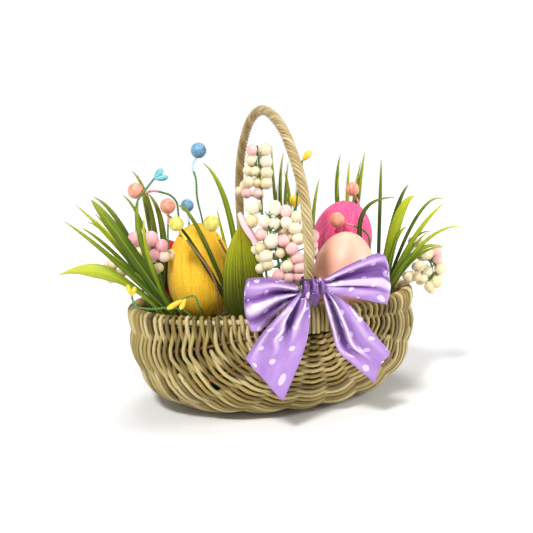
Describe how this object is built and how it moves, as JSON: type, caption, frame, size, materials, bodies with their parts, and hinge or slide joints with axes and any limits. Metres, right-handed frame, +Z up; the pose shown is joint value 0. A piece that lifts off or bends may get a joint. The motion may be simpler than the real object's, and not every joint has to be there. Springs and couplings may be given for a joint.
{
  "type": "easter basket",
  "caption": "Oval woven basket with a twisted hoop handle, wrapped eggs that lift out, berry sprays, beads on wires, grass blades and a dotted satin bow.",
  "frame": {"origin": "centre of the flat underside of the basket", "axes": "+X along the long axis of the oval, -Y to the front where the bow is tied, +Z up; the handle stands in the plane x = 0"},
  "size_m": [0.334, 0.2366, 0.2554],
  "materials": {
    "weave": "satin peeled willow, semi-gloss",
    "hoop": "peeled cane",
    "rib": "darker stained cane",
    "handle": "pale twisted cane, semi-gloss",
    "lashing": "cane wrap",
    "foam": "matt floral foam",
    "moss": "dry moss",
    "egg_yellow": "crepe paper wrap, matt",
    "egg_magenta": "crepe paper wrap, matt",
    "egg_blush": "smooth, soft sheen",
    "egg_red": "crepe paper wrap, matt",
    "berry": "frosted cream and pink",
    "bead_blue": "matt painted",
    "bead_peach": "matt painted",
    "bead_yellow": "matt painted",
    "wire": "paper-taped wire",
    "grass": "artificial grass blade, soft sheen",
    "leaf": "artificial leaf, printed cloth",
    "satin": "satin with white dots"
  },
  "bodies": {
    "basket": {"bead_blue_small": "bead_blue", "bead_blue_tall": "bead_blue", "bead_peach_back": "bead_peach", "bead_peach_front": "bead_peach", "bead_peach_left": "bead_peach", "bead_peach_middle": "bead_peach", "bead_yellow_left": "bead_yellow", "bead_yellow_right": "bead_yellow", "berries_front": "berry", "berries_left": "berry", "berries_left_outer": "berry", "berries_right": "berry", "berries_tall": "berry", "bow_band": "satin", "bow_knot": "satin", "bow_loop_left": "satin", "bow_loop_right": "satin", "bow_tail_left": "satin", "bow_tail_right": "satin", "floral_foam": "foam", "grass_back": "grass", "grass_centre": "grass", "grass_left_back": "grass", "grass_left_front": "grass", "grass_right_back": "grass", "grass_right_front": "grass", "grass_right_middle": "grass", "handle_rope": "handle", "lashing_back": "lashing", "lashing_front": "lashing", "leaf_broad": "leaf", "leaf_handle": "leaf", "leaf_low_left": "leaf", "leaf_tall_centre": "leaf", "moss_pad": "moss", "rib_1": "rib", "rib_2": "rib", "rib_3": "rib", "rib_4": "rib", "rib_5": "rib", "rib_6": "rib", "rib_7": "rib", "rib_8": "rib", "rib_9": "rib", "rim_hoop": "hoop", "wire_blue_small": "wire", "wire_blue_tall": "wire", "wire_bud_rim": "wire", "wire_bud_tall": "wire", "wire_peach_back": "wire", "wire_peach_front": "wire", "wire_peach_left": "wire", "wire_peach_middle": "wire", "wire_yellow_left": "wire", "wire_yellow_right": "wire", "woven_body": "weave"},
    "egg_blush": {"egg_blush": "egg_blush"},
    "egg_magenta": {"egg_magenta": "egg_magenta"},
    "egg_red": {"egg_red": "egg_red"},
    "egg_yellow": {"egg_yellow": "egg_yellow"}
  },
  "joints": [
    {"name": "egg_blush_lift", "type": "slide", "parent": "basket", "child": "egg_blush", "axis": [0, 0, 1], "range_m": [0, 0.12]},
    {"name": "egg_magenta_lift", "type": "slide", "parent": "basket", "child": "egg_magenta", "axis": [0, 0, 1], "range_m": [0, 0.12]},
    {"name": "egg_red_lift", "type": "slide", "parent": "basket", "child": "egg_red", "axis": [0, 0, 1], "range_m": [0, 0.12]},
    {"name": "egg_yellow_lift", "type": "slide", "parent": "basket", "child": "egg_yellow", "axis": [0, 0, 1], "range_m": [0, 0.12]}
  ]
}
